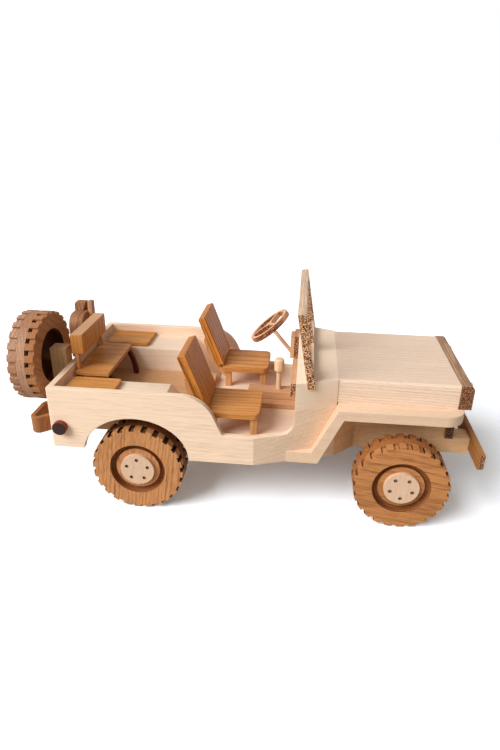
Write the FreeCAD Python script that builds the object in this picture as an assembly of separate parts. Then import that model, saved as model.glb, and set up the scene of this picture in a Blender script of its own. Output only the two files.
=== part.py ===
# Wooden model of an open army 4x4 car, built from boards, blocks and dowels.
# Frame: +X is the front, +Y the left side, +Z up. Millimetres.
# Heights start at the floor under the wheels. Lengths along X are first measured from the rear axle.
import FreeCAD, Part
import math
import os

os.makedirs("parts", exist_ok=True)

# Wheels and axles
wheelbase = 203.4
tyre_r = 36.0
tyre_layer = 7.0
tyre_layers = 3
lug_count = 24
lug_share = 0.57
lug_depth = 1.8
front_lug_turn_deg = 12.0
rear_lug_turn_deg = 4.0
spare_lug_turn_deg = 9.5
recess_r = 21.9
recess_depth = 5.5
back_recess_depth = 10.0
boss_r = 17.5
boss_height = 3.2
turned_sides = 20
hub_r = 13.3
hub_thickness = 2.8
hub_hole_count = 5
hub_hole_circle_r = 8.7
hub_hole_r = 1.4
hub_hole_depth = 1.6
hub_hole_sides = 8
front_hub_turn_deg = 54.0
rear_hub_turn_deg = 90.0
wheel_face_y = 73.1
axle_r = 4.0
axle_running_clearance = 0.05
axle_beam_half_x = 9.0
axle_beam_half_y = 49.4
axle_beam_below = 9.5

# Body boards
board = 5.0
side_y = 73.5
tail_x = -65.8
bend_x = 91.0
bend_slope_share = 0.35
panel_front_x = 152.1
sill_z = 47.8
rear_bottom_z = 52.9
top_z = 103.3
arch_half_x = 41.3
arch_rise = 33.6
door_top_x = 53.5
door_foot_x = 67.5
door_sill_z = 71.8
door_top_r = 27.0
door_foot_r = 3.0
door_front_r = 9.0
corner_ease_r = 1.5

# Cowl, bonnet and radiator board
cowl_rear_x = 120.2
cowl_seam_z = 91.7
hood_seam_back = 0.6
hood_overhang = 36.5
hood_half_y = 51.7
hood_bottom_z = 94.8
hood_top_z = 113.6
hood_ease_r = 2.2
grille_thickness = 9.6
grille_ease_r = 3.5
grille_slot_count = 5
grille_slot_w = 3.0
grille_slot_pitch = 7.5
grille_slot_h = 11.0
grille_slot_depth = 2.0
lamp_r = 6.0
lamp_depth = 1.8
lamp_y = 37.0

# Fenders
fender_y = 65.6
fender_bottom_z = 86.7
fender_overhang = 41.2
fender_corner_r = 15.0
slope_top_ahead = 0.5
slope_foot_back = 17.7
slope_foot_z = 57.4
foot_back = 36.7
slope_under_top_ahead = 4.9
slope_under_foot_back = 12.5

# Chassis
rail_outer_y = 36.2
rail_inner_y = 20.4
rail_top_z = 61.5
rail_overhang = 54.7
engine_side_inner_y = 31.7
cross_overhang = 34.8
cross_thickness = 6.0
cross_half_y = 38.0
toe_run = 16.4
bumper_thickness = 3.9
bumper_half_y = 66.0
bumper_bottom_z = 51.0
bumper_top_z = 65.3
bumper_chamfer = 3.0

# Floors, wheel wells and firewall
floor_thickness = 4.4
floor_rear_half_y = 39.0
rear_floor_thickness = 6.7
rear_floor_front_x = 47.0
well_inner_y = 35.0
well_board = 4.0
well_top_z = 93.7
well_slope_start_x = 20.8
firewall_thickness = 5.1

# Tunnel and gear lever
tunnel_rear_x = 79.5
tunnel_low_half_y = 14.5
tunnel_low_h = 4.8
tunnel_high_half_y = 6.7
tunnel_high_h = 6.9
lever_x = 105.0
lever_stem_r = 2.2
lever_head_r = 4.2
lever_head_z = 94.2
lever_top_z = 106.1

# Side seat boards on the wheel wells
pad_rear_x = -57.5
pad_front_x = -18.1
pad_inner_y = 38.0
pad_thickness = 3.6
pad_corner_r = 3.0

# Rear bench
bench_rear_x = -59.8
bench_front_x = -31.0
bench_half_y = 32.7
bench_top_z = 98.7
bench_thickness = 3.4
bench_back_rear_x = -62.6
bench_back_front_x = -52.2
bench_back_half_y = 27.2
bench_back_bottom_z = 111.5
bench_back_top_z = 128.6
bench_ease_r = 2.0
bench_strut = 3.2
bench_leg_w = 4.0
bench_leg_t = 4.2
bench_leg_front_x = -24.8
bench_leg_inset_y = 4.5
bench_leg_bulge_share = 0.25

# Front seats
seat_inner_y = 21.2
seat_outer_y = 62.7
seat_rear_x = 53.7
seat_front_x = 94.0
seat_top_z = 85.9
seat_thickness = 5.2
seat_corner_r = 5.0
back_foot_x = 55.2
back_foot_z = 88.4
back_length = 46.0
back_thickness = 6.8
back_lean_deg = 20.8
back_ease_r = 1.2
seat_leg_x = 5.4
seat_leg_y = 4.5
seat_leg_inset = 2.0
seat_front_leg_x = 87.0
seat_rear_leg_x = 55.8
brace_t = 5.0
brace_top_x = 42.0
brace_top_z = 110.0
brace_mid_x = 48.6
brace_mid_z = 90.0
brace_mid_share = 0.25

# Dash and steering
dash_thickness = 4.0
dash_end_y = 55.0
dash_inner_y = 7.0
dash_bottom_z = 98.7
dash_top_z = 109.6
column_block_inner_y = 33.0
column_block_outer_y = 52.0
column_block_bottom_z = 88.2
column_pad_thickness = 3.4
column_pad_bottom_z = 92.4
column_pad_top_z = 111.4
steering_x = 93.5
steering_y = 42.0
steering_z = 119.0
steering_tilt_deg = 49.7
steering_r = 20.0
steering_rim = 3.4
steering_thickness = 4.4
steering_hub_r = 3.6
steering_sides = 36
spoke_w = 2.6
spoke_count = 3
column_r = 1.7

# Windshield
shield_base_x = 131.8
shield_base_z = 109.0
shield_height = 58.0
shield_thickness = 5.9
shield_half_y = 62.2
shield_lean_deg = 10.0
shield_jamb = 7.0
shield_top_rail = 7.0
shield_bottom_rail = 12.0
shield_mid_bar = 5.0

# Behind the tailgate
spare_y = -25.0
spare_z = 108.8
spare_face_x = -79.0
spare_block_half_y = 5.9
spare_block_bottom_z = 90.0
spare_block_top_z = 117.2
can_thin_layer = 4.1
can_thick_layer = 8.0
can_inner_y = 17.0
can_outer_y = 40.5
can_bottom_z = 88.0
can_shoulder_r = 10.5
can_foot_r = 3.0
can_top_z = 127.6
can_cap_z = 134.2
can_cap_y = 34.0
can_cap_ease = 2.2
can_cap_lean = 2.4
can_riser_y = 37.2
can_riser_drop = 1.0
can_handle_y = 33.8
can_handle_z = 136.2
can_handle_foot_z = 101.0
loop_rear_x = -84.5
loop_outer_y = 70.5
loop_inner_y = 41.0
loop_foot_y = 61.0
loop_bend_x = -76.5
loop_bend_r = 5.0
loop_t = 3.6
loop_corner_r = 6.0
loop_bottom_z = 61.5
loop_top_z = 75.4
peg_x = -57.2
peg_z = 71.3
peg_r = 5.5
peg_out = 4.8

# Derived sizes
hood_front_x = wheelbase + hood_overhang
grille_front_x = hood_front_x + grille_thickness
fender_front_x = wheelbase + fender_overhang
cross_rear_x = wheelbase + cross_overhang
rail_front_x = wheelbase + rail_overhang
hood_rear_x = panel_front_x - hood_seam_back
firewall_rear_x = panel_front_x - firewall_thickness
toe_front_x = panel_front_x + toe_run
slope_top_x = panel_front_x + slope_top_ahead
slope_foot_x = panel_front_x - slope_foot_back
slope_under_top_x = panel_front_x + slope_under_top_ahead
slope_under_foot_x = panel_front_x - slope_under_foot_back
foot_rear_x = panel_front_x - foot_back
column_pad_x = cowl_rear_x - dash_thickness - column_pad_thickness
tyre_width = tyre_layer * tyre_layers
axle_z = tyre_r
boss_face_y = wheel_face_y - recess_depth + boss_height
hub_face_y = boss_face_y + hub_thickness
spare_rear_x = spare_face_x - tyre_width
bumper_front_x = rail_front_x + bumper_thickness
origin_x = (bumper_front_x + spare_rear_x) / 2.0
well_slope_end_x = well_slope_start_x + (well_top_z - rail_top_z - floor_thickness)
floor_z = rail_top_z + floor_thickness
rear_floor_z = floor_z + rear_floor_thickness
bend_rise = bend_slope_share * (panel_front_x - bend_x)
bend_board = board * math.hypot(1.0, bend_slope_share)
steering_dir = FreeCAD.Vector(math.cos(math.radians(steering_tilt_deg)), 0,
                              -math.sin(math.radians(steering_tilt_deg)))
X_AXIS = FreeCAD.Vector(1, 0, 0)
Y_AXIS = FreeCAD.Vector(0, 1, 0)
Z_AXIS = FreeCAD.Vector(0, 0, 1)


def box(x0, x1, y0, y1, z0, z1):
    return Part.makeBox(x1 - x0, y1 - y0, z1 - z0, FreeCAD.Vector(x0, y0, z0))


def mirrored(shape):
    return shape.mirror(FreeCAD.Vector(0, 0, 0), Y_AXIS)


# A closed outline whose corners may be rounded: each corner is (u, v) or (u, v, radius).
def outline(corners, to_3d):
    edges = []
    starts = []
    ends = []
    count = len(corners)
    for i in range(count):
        u, v = corners[i][0], corners[i][1]
        radius = corners[i][2] if len(corners[i]) > 2 else 0
        here = FreeCAD.Vector(u, v, 0)
        back = FreeCAD.Vector(corners[i - 1][0], corners[i - 1][1], 0) - here
        ahead = FreeCAD.Vector(corners[(i + 1) % count][0], corners[(i + 1) % count][1], 0) - here
        if radius == 0:
            starts.append(here)
            ends.append(here)
            edges.append(None)
            continue
        half = back.getAngle(ahead) / 2
        reach = radius / math.tan(half)
        a = here + FreeCAD.Vector(back).normalize() * reach
        b = here + FreeCAD.Vector(ahead).normalize() * reach
        inward = (FreeCAD.Vector(back).normalize() + FreeCAD.Vector(ahead).normalize()).normalize()
        middle = here + inward * (radius / math.sin(half) - radius)
        starts.append(a)
        ends.append(b)
        edges.append(Part.Arc(to_3d(a), to_3d(middle), to_3d(b)).toShape())
    parts = []
    for i in range(count):
        if edges[i] is not None:
            parts.append(edges[i])
        a = ends[i]
        b = starts[(i + 1) % count]
        if (b - a).Length > 0:
            parts.append(Part.LineSegment(to_3d(a), to_3d(b)).toShape())
    return Part.Face(Part.Wire(parts))


def side_profile(corners, y0, y1):
    face = outline(corners, lambda p: FreeCAD.Vector(p.x, y0, p.y))
    return face.extrude(FreeCAD.Vector(0, y1 - y0, 0))


def plan_profile(corners, z0, z1):
    face = outline(corners, lambda p: FreeCAD.Vector(p.x, p.y, z0))
    return face.extrude(FreeCAD.Vector(0, 0, z1 - z0))


def front_profile(corners, x0, x1):
    face = outline(corners, lambda p: FreeCAD.Vector(x0, p.x, p.y))
    return face.extrude(FreeCAD.Vector(x1 - x0, 0, 0))


def round_edges(shape, radius, wanted):
    chosen = [e for e in shape.Edges if wanted(e)]
    return shape.makeFillet(radius, chosen)


def cylinder_y(x, z, r, y0, y1):
    return Part.makeCylinder(r, y1 - y0, FreeCAD.Vector(x, y0, z), Y_AXIS)


def cylinder_x(y, z, r, x0, x1):
    return Part.makeCylinder(r, x1 - x0, FreeCAD.Vector(x0, y, z), X_AXIS)


# Half width of the body's outer face at a station along X.
def outer_y(x):
    return side_y - bend_slope_share * max(0, x - bend_x)


def inner_y(x):
    return outer_y(x) - (bend_board if x > bend_x else board)


# Right side board: flat behind the door, bent inward ahead of its middle.
def side_board():
    inner_bend_x = bend_x - (bend_board - board) / bend_slope_share
    plan = plan_profile([(tail_x, -side_y, corner_ease_r), (bend_x, -side_y),
                         (panel_front_x, -side_y + bend_rise),
                         (panel_front_x, -side_y + bend_rise + bend_board),
                         (inner_bend_x, -side_y + board), (tail_x, -side_y + board)],
                        sill_z, top_z)
    face = side_profile([(tail_x, rear_bottom_z), (tail_x, top_z), (door_top_x, top_z, door_top_r),
                         (door_foot_x, door_sill_z, door_foot_r),
                         (cowl_rear_x, door_sill_z, door_front_r), (cowl_rear_x, cowl_seam_z),
                         (panel_front_x, cowl_seam_z), (panel_front_x, sill_z), (0, sill_z),
                         (0, rear_bottom_z)], -side_y, 0)
    return plan.common(face).cut(arch_cutter())


def arch_cutter():
    base = Part.makeCylinder(arch_rise, board + board, FreeCAD.Vector(0, -side_y - board / 2, 0), Y_AXIS)
    stretch = FreeCAD.Matrix()
    stretch.A11 = arch_half_x / arch_rise
    stretched = base.transformGeometry(stretch)
    stretched.translate(FreeCAD.Vector(0, 0, sill_z))
    return stretched


def tailgate():
    return box(tail_x, tail_x + board, -side_y + board, side_y - board, rear_bottom_z, top_z)


# Floor board on the rails, narrow between the wheel wells.
def floor():
    half = [(tail_x + board, floor_rear_half_y), (well_slope_end_x, floor_rear_half_y),
            (well_slope_end_x, inner_y(0)), (bend_x, inner_y(0)),
            (firewall_rear_x, inner_y(firewall_rear_x))]
    other = [(x, -y) for x, y in reversed(half)]
    inner_bend_x = bend_x - (bend_board - board) / bend_slope_share
    half[3] = (inner_bend_x, inner_y(0))
    other[1] = (inner_bend_x, -inner_y(0))
    return plan_profile(half + other, rail_top_z, floor_z)


def rear_floor():
    return box(tail_x + board, rear_floor_front_x, -well_inner_y, well_inner_y, floor_z, rear_floor_z)


# Right wheel well: inner wall, top and sloping front board in one.
def wheel_well():
    t = well_board
    drop = well_top_z - floor_z
    outer = side_profile([(tail_x + board, floor_z), (tail_x + board, well_top_z),
                          (well_slope_start_x, well_top_z), (well_slope_start_x + drop, floor_z)],
                         -inner_y(0), -well_inner_y)
    lean = t * math.sqrt(2.0)
    hollow = side_profile([(tail_x, floor_z - t), (tail_x, well_top_z - t),
                           (well_slope_start_x + t - lean, well_top_z - t),
                           (well_slope_start_x + drop + t - lean, floor_z - t)],
                          -side_y, -well_inner_y - t)
    return outer.cut(hollow)


def side_pad():
    return plan_profile([(pad_rear_x, -inner_y(0)), (pad_front_x, -inner_y(0)),
                         (pad_front_x, -pad_inner_y, pad_corner_r),
                         (pad_rear_x, -pad_inner_y, pad_corner_r)],
                        well_top_z, well_top_z + pad_thickness)


# Firewall board between the cabin and the front, under the cowl.
def firewall():
    return plan_profile([(firewall_rear_x, -inner_y(firewall_rear_x)),
                         (panel_front_x, -inner_y(panel_front_x)),
                         (panel_front_x, inner_y(panel_front_x)),
                         (firewall_rear_x, inner_y(firewall_rear_x))],
                        rail_top_z, cowl_seam_z)


def cowl_block():
    return plan_profile([(cowl_rear_x, -outer_y(cowl_rear_x)), (hood_rear_x, -outer_y(hood_rear_x)),
                         (hood_rear_x, outer_y(hood_rear_x)), (cowl_rear_x, outer_y(cowl_rear_x))],
                        cowl_seam_z, hood_top_z)


# Tapered cowl, open behind and below.
def cowl():
    hollow = plan_profile([(cowl_rear_x, -inner_y(cowl_rear_x)), (hood_rear_x, -inner_y(hood_rear_x)),
                           (hood_rear_x, inner_y(hood_rear_x)), (cowl_rear_x, inner_y(cowl_rear_x))],
                          cowl_seam_z, hood_top_z - board)
    return cowl_block().cut(hollow)


def hood():
    block = box(hood_rear_x, hood_front_x, -hood_half_y, hood_half_y, hood_bottom_z, hood_top_z)
    return round_edges(block, hood_ease_r,
                       lambda e: e.BoundBox.YLength == 0 and e.BoundBox.ZLength == 0
                       and e.BoundBox.ZMin > hood_bottom_z + hood_ease_r)


# Radiator board with upright slots in its front.
def grille():
    block = box(hood_front_x, grille_front_x, -hood_half_y, hood_half_y, hood_bottom_z, hood_top_z)
    block = round_edges(block, grille_ease_r,
                        lambda e: e.BoundBox.XMin > hood_front_x + grille_ease_r
                        and e.BoundBox.ZMin > hood_bottom_z + grille_ease_r)
    first_y = -grille_slot_pitch * (grille_slot_count - 1) / 2
    low = (hood_bottom_z + hood_top_z - grille_slot_h) / 2
    for i in range(grille_slot_count):
        y = first_y + i * grille_slot_pitch
        slot = box(grille_front_x - grille_slot_depth, grille_front_x + grille_slot_depth,
                   y - grille_slot_w / 2, y + grille_slot_w / 2, low, low + grille_slot_h)
        block = block.cut(slot)
    return block


def headlamp():
    z = (hood_bottom_z + hood_top_z) / 2
    return cylinder_x(-lamp_y, z, lamp_r, grille_front_x, grille_front_x + lamp_depth)


# Right fender: foot, slope and flat top with a round front corner.
def fender():
    profile = side_profile([(foot_rear_x, sill_z), (foot_rear_x, slope_foot_z),
                            (slope_foot_x, slope_foot_z), (slope_top_x, hood_bottom_z),
                            (fender_front_x, hood_bottom_z), (fender_front_x, fender_bottom_z),
                            (slope_under_top_x, fender_bottom_z), (slope_under_foot_x, sill_z)],
                           -fender_y, -engine_side_inner_y)
    plan = plan_profile([(foot_rear_x, -fender_y), (fender_front_x, -fender_y, fender_corner_r),
                         (fender_front_x, -engine_side_inner_y),
                         (panel_front_x, -engine_side_inner_y),
                         (panel_front_x, -outer_y(panel_front_x)),
                         (foot_rear_x, -outer_y(foot_rear_x))], sill_z, hood_bottom_z)
    return profile.common(plan).cut(toe_board())


def chassis_rail():
    return box(tail_x + board, rail_front_x, -rail_outer_y, -rail_inner_y, sill_z, rail_top_z)


# Beam across under both rails with the bore the axle turns in.
def axle_beam(x):
    y = axle_beam_half_y
    beam = box(x - axle_beam_half_x, x + axle_beam_half_x, -y, y, axle_z - axle_beam_below, sill_z)
    return beam.cut(cylinder_y(x, axle_z, axle_r + axle_running_clearance, -y, y))


def axle(x):
    return cylinder_y(x, axle_z, axle_r, -boss_face_y, boss_face_y)


def engine_side():
    return box(toe_front_x, cross_rear_x, -rail_outer_y, -engine_side_inner_y, rail_top_z, fender_bottom_z)


# Slanting board from the side board's front end in to the chassis.
def toe_board():
    y0 = -outer_y(panel_front_x)
    run = toe_front_x - panel_front_x
    return plan_profile([(panel_front_x, y0), (toe_front_x, y0 + run),
                         (toe_front_x, -engine_side_inner_y),
                         (panel_front_x, -engine_side_inner_y)],
                        rail_top_z, fender_bottom_z)


# Wedge under the slanting board, between the rail and the side board.
def corner_wedge():
    y0 = -outer_y(panel_front_x)
    run = -rail_outer_y - y0
    return plan_profile([(panel_front_x, y0), (panel_front_x + run, -rail_outer_y),
                         (panel_front_x - bend_board, -rail_outer_y),
                         (panel_front_x - bend_board, -inner_y(panel_front_x - bend_board)),
                         (panel_front_x, -inner_y(panel_front_x))],
                        sill_z, rail_top_z)


def cross_board():
    return box(cross_rear_x, cross_rear_x + cross_thickness, -cross_half_y, cross_half_y,
               rail_top_z, fender_bottom_z)


def front_bumper():
    return front_profile([(-bumper_half_y, bumper_top_z), (bumper_half_y, bumper_top_z),
                          (bumper_half_y, bumper_bottom_z + bumper_chamfer),
                          (bumper_half_y - bumper_chamfer, bumper_bottom_z),
                          (-bumper_half_y + bumper_chamfer, bumper_bottom_z),
                          (-bumper_half_y, bumper_bottom_z + bumper_chamfer)],
                         rail_front_x, bumper_front_x)


def tunnel_low():
    return box(tunnel_rear_x, firewall_rear_x, -tunnel_low_half_y, tunnel_low_half_y,
               floor_z, floor_z + tunnel_low_h)


def tunnel_high():
    low = floor_z + tunnel_low_h
    return box(tunnel_rear_x, firewall_rear_x, -tunnel_high_half_y, tunnel_high_half_y,
               low, low + tunnel_high_h)


def gear_lever():
    low = floor_z + tunnel_low_h + tunnel_high_h
    stem = Part.makeCylinder(lever_stem_r, lever_head_z - low, FreeCAD.Vector(lever_x, 0, low))
    head = Part.makeCylinder(lever_head_r, lever_top_z - lever_head_z,
                             FreeCAD.Vector(lever_x, 0, lever_head_z))
    return stem.fuse(head).removeSplitter()


# Right front seat: board with round front corners.
def seat_base():
    return plan_profile([(seat_rear_x, -seat_outer_y), (seat_front_x, -seat_outer_y, seat_corner_r),
                         (seat_front_x, -seat_inner_y, seat_corner_r), (seat_rear_x, -seat_inner_y)],
                        seat_top_z - seat_thickness, seat_top_z)


def seat_back():
    back = box(-back_thickness, 0, -seat_outer_y, -seat_inner_y, 0, back_length)
    back = round_edges(back, back_ease_r,
                       lambda e: e.BoundBox.XLength == 0 and e.BoundBox.ZLength == 0
                       and e.BoundBox.ZMin > 0)
    back.rotate(FreeCAD.Vector(0, 0, 0), Y_AXIS, -back_lean_deg)
    back.translate(FreeCAD.Vector(back_foot_x, 0, back_foot_z))
    return back


# One side of a seat's stand: curved brace behind the back, and the rear leg under the board.
def seat_stand(y0):
    y1 = y0 + seat_leg_y
    under = seat_top_z - seat_thickness
    outer = Part.Arc(FreeCAD.Vector(brace_top_x - brace_t, y0, brace_top_z),
                     FreeCAD.Vector(brace_mid_x - brace_t, y0, brace_mid_z),
                     FreeCAD.Vector(seat_rear_leg_x, y0, under - brace_t)).toShape()
    inner = Part.Arc(FreeCAD.Vector(seat_rear_leg_x, y0, under),
                     FreeCAD.Vector(brace_mid_x, y0, brace_mid_z + brace_t * brace_mid_share),
                     FreeCAD.Vector(brace_top_x, y0, brace_top_z)).toShape()
    end = Part.LineSegment(FreeCAD.Vector(seat_rear_leg_x, y0, under - brace_t),
                           FreeCAD.Vector(seat_rear_leg_x, y0, under)).toShape()
    top = Part.LineSegment(FreeCAD.Vector(brace_top_x, y0, brace_top_z),
                           FreeCAD.Vector(brace_top_x - brace_t, y0, brace_top_z)).toShape()
    brace = Part.Face(Part.Wire([outer, end, inner, top])).extrude(FreeCAD.Vector(0, y1 - y0, 0))
    leg = box(seat_rear_leg_x, seat_rear_leg_x + seat_leg_x, y0, y1, floor_z, under)
    return brace.fuse(leg).removeSplitter()


def seat_front_leg(y0):
    return box(seat_front_leg_x, seat_front_leg_x + seat_leg_x, y0, y0 + seat_leg_y,
               floor_z, seat_top_z - seat_thickness)


def seat_legs():
    near = -seat_outer_y + seat_leg_inset
    far = -seat_inner_y - seat_leg_inset - seat_leg_y
    back = seat_back()
    base = seat_base()
    solids = []
    for y0 in (near, far):
        solids.append(seat_stand(y0).cut(back).cut(base))
        solids.append(seat_front_leg(y0))
    return Part.makeCompound([s for shape in solids for s in shape.Solids])


def bench_seat():
    return box(bench_rear_x, bench_front_x, -bench_half_y, bench_half_y,
               bench_top_z - bench_thickness, bench_top_z)


def bench_back():
    back = box(bench_back_rear_x, bench_back_front_x, -bench_back_half_y, bench_back_half_y,
               bench_back_bottom_z, bench_back_top_z)
    return round_edges(back, bench_ease_r,
                       lambda e: e.BoundBox.XMin < bench_back_rear_x + bench_ease_r
                       and e.BoundBox.XLength == 0 and e.BoundBox.ZLength == 0
                       and e.BoundBox.ZMin > bench_back_bottom_z + bench_ease_r)


# Two small struts that carry the bench's back board.
def bench_struts():
    low = -bench_back_half_y
    near = box(bench_rear_x, bench_rear_x + bench_strut, low, low + bench_strut,
               bench_top_z, bench_back_bottom_z)
    return Part.makeCompound([near, mirrored(near)])


# Curved front legs and straight rear legs under the bench.
def bench_legs():
    y0 = -bench_half_y + bench_leg_inset_y
    y1 = y0 + bench_leg_w
    under = bench_top_z - bench_thickness
    middle_z = (under + rear_floor_z) / 2
    bulge = (bench_leg_front_x - bench_front_x) * bench_leg_bulge_share
    outer = Part.Arc(FreeCAD.Vector(bench_front_x, y0, under),
                     FreeCAD.Vector(bench_leg_front_x - bulge, y0, middle_z),
                     FreeCAD.Vector(bench_leg_front_x, y0, rear_floor_z)).toShape()
    foot = Part.LineSegment(FreeCAD.Vector(bench_leg_front_x, y0, rear_floor_z),
                            FreeCAD.Vector(bench_leg_front_x - bench_leg_t, y0, rear_floor_z)).toShape()
    inner = Part.Arc(FreeCAD.Vector(bench_leg_front_x - bench_leg_t, y0, rear_floor_z),
                     FreeCAD.Vector(bench_leg_front_x - bulge - bench_leg_t, y0, middle_z),
                     FreeCAD.Vector(bench_front_x - bench_leg_t, y0, under)).toShape()
    top = Part.LineSegment(FreeCAD.Vector(bench_front_x - bench_leg_t, y0, under),
                           FreeCAD.Vector(bench_front_x, y0, under)).toShape()
    curved = Part.Face(Part.Wire([outer, foot, inner, top])).extrude(FreeCAD.Vector(0, y1 - y0, 0))
    rear = box(bench_rear_x, bench_rear_x + bench_leg_t, y0, y1, rear_floor_z, under)
    return Part.makeCompound([curved, mirrored(curved), rear, mirrored(rear)])


# Dash board on the right half of the cowl.
def dash_board():
    return box(cowl_rear_x - dash_thickness, cowl_rear_x, -dash_end_y, -dash_inner_y,
               dash_bottom_z, dash_top_z)


def column_block():
    return box(cowl_rear_x - dash_thickness, cowl_rear_x, column_block_inner_y, column_block_outer_y,
               column_block_bottom_z, hood_top_z)


# Small board on the block, where the steering column is glued in.
def column_pad():
    return box(column_pad_x, column_pad_x + column_pad_thickness, column_block_inner_y,
               column_block_outer_y, column_pad_bottom_z, column_pad_top_z)


def steering_column():
    start = FreeCAD.Vector(steering_x, steering_y, steering_z) + steering_dir * (steering_thickness / 2)
    length = (cowl_rear_x - start.x) / steering_dir.x
    rod = Part.makeCylinder(column_r, length, start, steering_dir)
    return rod.cut(box(column_pad_x, cowl_rear_x + length, 0, side_y, 0, hood_top_z))


def ring_of(r, sides, low):
    corners = []
    for i in range(sides + 1):
        a = 2 * math.pi * (i % sides) / sides
        corners.append(FreeCAD.Vector(r * math.cos(a), r * math.sin(a), low))
    return Part.Face(Part.makePolygon(corners)).extrude(FreeCAD.Vector(0, 0, steering_thickness))


# Steering wheel: a flat ring, a hub and straight spokes, tilted on its column.
def steering_wheel():
    low = -steering_thickness / 2
    rim = ring_of(steering_r, steering_sides, low).cut(ring_of(steering_r - steering_rim,
                                                               steering_sides, low))
    wheel = rim.fuse(Part.makeCylinder(steering_hub_r, steering_thickness, FreeCAD.Vector(0, 0, low)))
    for i in range(spoke_count):
        spoke = box(0, steering_r - steering_rim / 2, -spoke_w / 2, spoke_w / 2, low, -low)
        spoke.rotate(FreeCAD.Vector(0, 0, 0), Z_AXIS, 360 / spoke_count * i)
        wheel = wheel.fuse(spoke)
    wheel = wheel.removeSplitter()
    wheel.rotate(FreeCAD.Vector(0, 0, 0), Y_AXIS, 90 + steering_tilt_deg)
    wheel.translate(FreeCAD.Vector(steering_x, steering_y, steering_z))
    return wheel


# Windshield frame leaning back, notched over the cowl, with two openings.
def windshield():
    half = shield_thickness / 2
    frame = box(-half, half, -shield_half_y, shield_half_y, 0, shield_height)
    pane_low = shield_bottom_rail
    pane_high = shield_height - shield_top_rail
    pane = box(-shield_thickness, shield_thickness, -shield_half_y + shield_jamb, -shield_mid_bar / 2,
               pane_low, pane_high)
    frame = frame.cut(pane).cut(mirrored(pane))
    frame.rotate(FreeCAD.Vector(0, 0, 0), Y_AXIS, -shield_lean_deg)
    frame.translate(FreeCAD.Vector(shield_base_x, 0, shield_base_z))
    return frame.cut(cowl_block())


def spare_block():
    return box(spare_face_x, tail_x, spare_y - spare_block_half_y, spare_y + spare_block_half_y,
               spare_block_bottom_z, spare_block_top_z)


# Fuel can of three layers: a thick and a thin one with a round shoulder, and a front plate that
# rises beside the cap as the handle. The far edge of the thin layer closes the notch between them.
def fuel_can():
    middle_x = tail_x - can_thin_layer
    seam_x = middle_x - can_thin_layer
    rear_x = seam_x - can_thick_layer
    body = front_profile([(can_inner_y, can_bottom_z, can_foot_r), (can_outer_y, can_bottom_z),
                          (can_outer_y, can_top_z), (can_inner_y, can_top_z, can_shoulder_r)],
                         rear_x, middle_x)
    plate = front_profile([(can_inner_y, can_bottom_z), (can_outer_y, can_bottom_z),
                           (can_outer_y, can_handle_z), (can_handle_y, can_handle_z),
                           (can_handle_y, can_handle_foot_z), (can_inner_y, can_handle_foot_z)],
                          middle_x, tail_x)
    cap = side_profile([(rear_x, can_top_z), (rear_x, can_cap_z, can_cap_ease),
                        (seam_x + can_cap_lean, can_cap_z), (seam_x, can_top_z)], can_cap_y, can_outer_y)
    riser = box(seam_x, middle_x, can_riser_y, can_outer_y, can_top_z, can_cap_z - can_riser_drop)
    return body.fuse(plate).fuse(cap).fuse(riser).removeSplitter()


# Bumper loop bent round behind the right rear corner, open inside, its outer leg slanting in.
def rear_loop():
    t = loop_t
    slant = math.atan2(loop_outer_y - loop_foot_y, tail_x - loop_bend_x)
    outer = plan_profile([(tail_x, -loop_foot_y), (loop_bend_x, -loop_outer_y, loop_bend_r),
                          (loop_rear_x, -loop_outer_y, loop_corner_r),
                          (loop_rear_x, -loop_inner_y, loop_corner_r), (tail_x, -loop_inner_y)],
                         loop_bottom_z, loop_top_z)
    inner = plan_profile([(tail_x, -loop_foot_y + t / math.cos(slant)),
                          (loop_bend_x - t * math.tan(slant / 2), -loop_outer_y + t, loop_bend_r - t),
                          (loop_rear_x + t, -loop_outer_y + t, loop_corner_r - t),
                          (loop_rear_x + t, -loop_inner_y - t, loop_corner_r - t),
                          (tail_x, -loop_inner_y - t)], loop_bottom_z, loop_top_z)
    return outer.cut(inner)


def tail_peg():
    return cylinder_y(peg_x, peg_z, peg_r, -side_y - peg_out, -side_y)


# Flat outline through points on circles round the axle line, pushed out along Y.
def disc_of(points, y0, y1):
    corners = [FreeCAD.Vector(r * math.cos(a), y0, r * math.sin(a)) for r, a in points]
    corners.append(corners[0])
    return Part.Face(Part.makePolygon(corners)).extrude(FreeCAD.Vector(0, y1 - y0, 0))


def turned(r, sides, y0, y1):
    return disc_of([(r, 2 * math.pi * i / sides) for i in range(sides)], y0, y1)


# Corners at the roots of the gaps, with the lugs' outer corners between them where wanted.
def lug_points(turn_deg, with_lugs):
    step = 2 * math.pi / lug_count
    half_gap = step * (1 - lug_share) / 2
    root_r = tyre_r - lug_depth
    points = []
    for i in range(lug_count):
        middle = math.radians(turn_deg) + i * step
        points.append((root_r, middle - half_gap))
        points.append((root_r, middle + half_gap))
        if with_lugs:
            points.append((tyre_r, middle + half_gap))
            points.append((tyre_r, middle + step - half_gap))
    return points


# Tyre of three layers round (0, 0), its outer face towards -Y: two lugged layers with a plain one
# between, a recess and boss in the outer face, a web in the middle and a deep recess behind.
def tyre(turn_deg):
    face = -wheel_face_y
    back = face + tyre_width
    lugs = lug_points(turn_deg, True)
    whole = disc_of(lug_points(turn_deg, False), face + tyre_layer, back - tyre_layer)
    whole = whole.fuse(disc_of(lugs, face, face + tyre_layer))
    whole = whole.fuse(disc_of(lugs, back - tyre_layer, back)).removeSplitter()
    floor_y = face + recess_depth
    whole = whole.cut(turned(recess_r, turned_sides, face, floor_y))
    whole = whole.fuse(turned(boss_r, turned_sides, -boss_face_y, floor_y))
    whole = whole.cut(turned(recess_r, turned_sides, back - back_recess_depth, back))
    return whole.cut(cylinder_y(0, 0, axle_r, face, back))


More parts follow.
